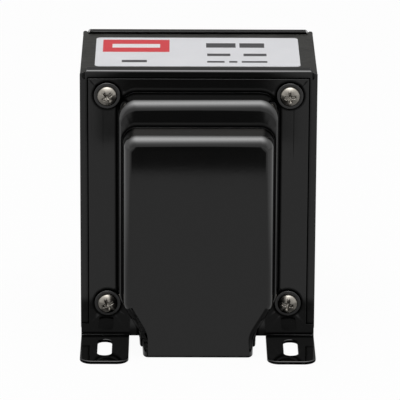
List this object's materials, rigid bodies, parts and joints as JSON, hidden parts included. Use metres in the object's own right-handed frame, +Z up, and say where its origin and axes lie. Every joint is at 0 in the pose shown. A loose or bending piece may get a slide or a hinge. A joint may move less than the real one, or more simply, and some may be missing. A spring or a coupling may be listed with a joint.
{
  "type": "laminated chassis transformer",
  "caption": "Upright power transformer with an interleaved steel core between two drawn black end bells, four through screws and slotted mounting feet.",
  "frame": {"origin": "centre of the footprint, on the plane the four feet stand on", "axes": "+Z up, -Y towards the front bell with the screw heads, +X to the right seen from the front"},
  "size_m": [0.0976, 0.128, 0.1166],
  "materials": {
    "bell_enamel": "gloss black baked enamel over drawn steel",
    "core_paint": "satin black varnish over steel laminations",
    "tube_board": "kraft board winding tube",
    "copper_wire": "enamelled copper wire, layer wound",
    "coil_paper": "varnished kraft paper",
    "wedge_fibre": "vulcanised fibre",
    "screw_plate": "nickel-plated steel",
    "nut_plate": "zinc-plated steel",
    "washer_black": "black oxide steel",
    "sleeve_film": "insulating sleeving",
    "label_face": "silver-grey sticker with a plain red field"
  },
  "bodies": {
    "root": {"bell_front": "bell_enamel", "bell_rear": "bell_enamel", "e_lams_left": "core_paint", "e_lams_right": "core_paint", "i_lams_left": "core_paint", "i_lams_right": "core_paint", "coil_tube": "tube_board", "core_wedges": "wedge_fibre", "primary_winding": "copper_wire", "primary_wrap": "coil_paper", "secondary_winding": "copper_wire", "coil_wrap": "coil_paper", "coil_margins": "coil_paper", "screws": "screw_plate", "screw_sleeves": "sleeve_film", "front_washers": "washer_black", "rear_washers": "washer_black", "lock_washers": "nut_plate", "nuts": "nut_plate", "label": "label_face"}
  },
  "joints": []
}
